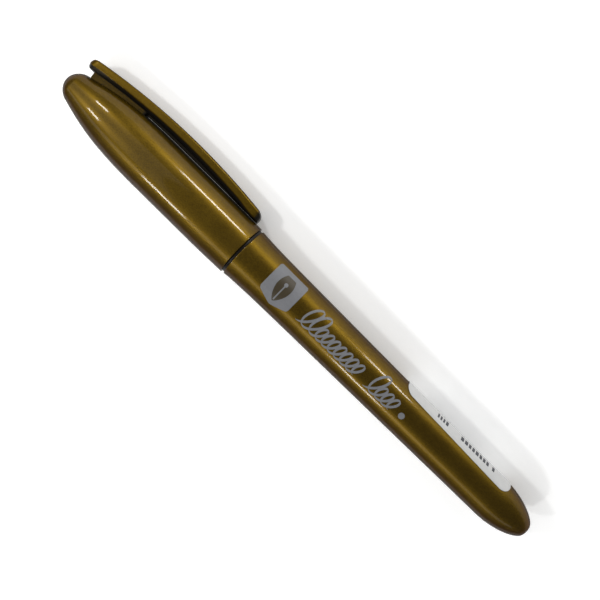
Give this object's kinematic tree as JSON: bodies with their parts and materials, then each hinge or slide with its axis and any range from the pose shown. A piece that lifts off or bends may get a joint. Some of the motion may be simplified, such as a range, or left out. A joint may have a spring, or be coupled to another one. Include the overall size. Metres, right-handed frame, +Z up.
{
  "type": "calligraphy marker",
  "caption": "Slim capped calligraphy marker with a clip cap, a chisel nib on a spring-loaded ink valve, and a loose mixing ball in its barrel.",
  "frame": {"origin": "centre of the barrel's flat tail face, on the marker's axis", "axes": "+X along the marker's axis from the tail to the cap's nose, +Z up with the marker lying on its side and the clip turned down on the -Y side"},
  "size_m": [0.136, 0.0162, 0.0128],
  "materials": {
    "gold_lacquer": "metallic gold lacquer over black plastic",
    "black_plastic": "moulded, satin",
    "white_plastic": "natural polypropylene",
    "nib_fibre": "bonded polyester fibre, soaked in gold ink",
    "gasket_rubber": "moulded",
    "steel": "polished stainless",
    "label_paper": "coated paper label",
    "silver_print": "silver-grey pad-printed ink",
    "gold_print": "gold-brown pad-printed ink",
    "label_print": "black thermal print on the label"
  },
  "bodies": {
    "barrel": {"barrel": "gold_lacquer", "barcode_label": "label_paper", "front_section": "black_plastic", "valve_housing": "white_plastic", "valve_gasket": "gasket_rubber", "valve_spring": "steel", "valve_cage": "white_plastic"},
    "cap": {"cap_shell": "gold_lacquer", "inner_cap": "white_plastic", "clip_root": "gold_lacquer"},
    "clip_arm": {"clip_arm": "gold_lacquer"},
    "nib": {"nib": "nib_fibre"},
    "valve_stem": {"valve_stem": "white_plastic"},
    "mixing_ball": {"mixing_ball": "steel"}
  },
  "joints": [
    {"name": "cap_pull", "type": "slide", "parent": "barrel", "child": "cap", "axis": [1, 0, 0], "range_m": [0, 0.06]},
    {"name": "clip_flex", "type": "hinge", "parent": "cap", "child": "clip_arm", "pos_m": [0.1184, -0.00845, -0.0039], "axis": [0, -0.4193, 0.9079], "range_deg": [0, 5], "stiffness_Nm_per_rad": 0.5},
    {"name": "nib_press", "type": "slide", "parent": "barrel", "child": "nib", "axis": [-1, 0, 0], "range_m": [0, 0.0012], "stiffness_N_per_m": 400, "springref_m": -0.0005},
    {"name": "valve_open", "type": "slide", "parent": "barrel", "child": "valve_stem", "axis": [-1, 0, 0], "range_m": [0, 0.0012], "deforming": ["valve_spring"]},
    {"name": "ball_roll", "type": "slide", "parent": "barrel", "child": "mixing_ball", "axis": [1, 0, 0], "range_m": [-0.0215, 0.0366]}
  ],
  "couplings": [
    {"joint": "valve_open", "follows": "nib_press", "ratio": 1}
  ]
}
